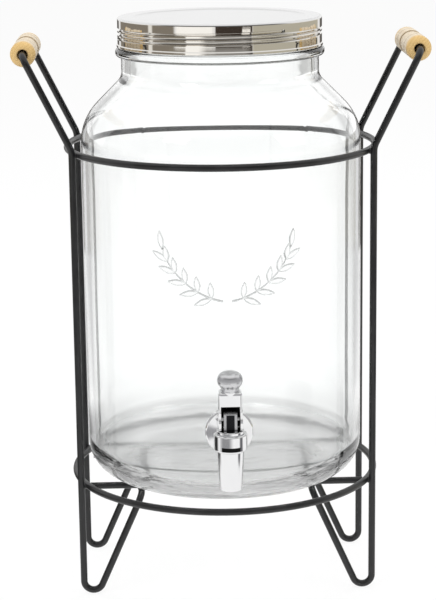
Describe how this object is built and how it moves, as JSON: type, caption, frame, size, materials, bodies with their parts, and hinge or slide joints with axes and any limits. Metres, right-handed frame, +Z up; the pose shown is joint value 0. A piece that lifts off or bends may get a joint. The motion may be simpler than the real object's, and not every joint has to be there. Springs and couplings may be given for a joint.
{
  "type": "drink dispenser",
  "caption": "Clear glass jar dispenser with a screw lid and a lever tap, in a black wire stand with slanted side handles and turned wooden grips.",
  "frame": {"origin": "on the table, midway between the feet, under the axis of the jar", "axes": "+Z up along the jar axis, -Y towards the front where the tap is, +X to the right seen from the front"},
  "size_m": [0.2976, 0.2564, 0.4204],
  "materials": {
    "black_wire": "semi-gloss black coat on round steel wire",
    "turned_wood": "pale turned wood, satin lacquer",
    "clear_glass": "clear smooth pressed glass",
    "polished_lid": "polished tinned steel, warm grey",
    "liner_plastic": "soft white foam",
    "chrome_tap": "mirror chrome",
    "steel_pin": "bright drawn steel",
    "stem_steel": "turned stainless steel",
    "spring_steel": "stainless spring wire",
    "silicone_seal": "translucent white silicone",
    "clear_gasket": "translucent pale silicone"
  },
  "bodies": {
    "stand": {"upper_ring": "black_wire", "lower_ring": "black_wire", "left_side_frame": "black_wire", "right_side_frame": "black_wire", "front_cross_bar": "black_wire", "rear_cross_bar": "black_wire"},
    "left_handle_grip": {"left_grip": "turned_wood"},
    "right_handle_grip": {"right_grip": "turned_wood"},
    "jar": {"glass_jar": "clear_glass", "tap_body": "chrome_tap", "tap_bonnet": "chrome_tap", "stem_o_ring": "silicone_seal", "stem_spring": "spring_steel", "outer_gasket": "clear_gasket", "inner_gasket": "clear_gasket", "tap_nut": "chrome_tap"},
    "lid_seal": {"lid_liner": "liner_plastic"},
    "lid": {"lid_cap": "polished_lid"},
    "valve": {"tap_stem": "stem_steel", "stem_seat": "silicone_seal"},
    "lever": {"tap_lever": "chrome_tap", "lever_pin": "steel_pin"}
  },
  "joints": [
    {"name": "jar_lift", "type": "slide", "parent": "stand", "child": "jar", "axis": [0, 0, 1], "range_m": [0, 0.17]},
    {"name": "lid_lift", "type": "slide", "parent": "jar", "child": "lid_seal", "axis": [0, 0, 1], "range_m": [0, 0.02171]},
    {"name": "lid_turn", "type": "hinge", "parent": "lid_seal", "child": "lid", "pos_m": [0, 0, 0.4187], "axis": [0, 0, 1], "range_deg": [0, 1260]},
    {"name": "stem_lift", "type": "slide", "parent": "jar", "child": "valve", "axis": [0, 0, 1], "range_m": [0, 0.004], "deforming": ["stem_spring"]},
    {"name": "lever_turn", "type": "hinge", "parent": "valve", "child": "lever", "pos_m": [0, -0.13, 0.1566], "axis": [1, 0, 0], "range_deg": [0, 75], "stiffness_Nm_per_rad": 0.06, "springref_deg": -22.92},
    {"name": "left_grip_turn", "type": "hinge", "parent": "stand", "child": "left_handle_grip", "pos_m": [-0.13982, 0, 0.398], "axis": [0, 1, 0], "continuous": true},
    {"name": "right_grip_turn", "type": "hinge", "parent": "stand", "child": "right_handle_grip", "pos_m": [0.13982, 0, 0.398], "axis": [0, 1, 0], "continuous": true}
  ],
  "couplings": [
    {"joint": "lid_lift", "follows": "lid_turn", "m_per_rad": 0.00098676},
    {"joint": "stem_lift", "follows": "lever_turn", "m_per_rad": 0.0030557}
  ]
}
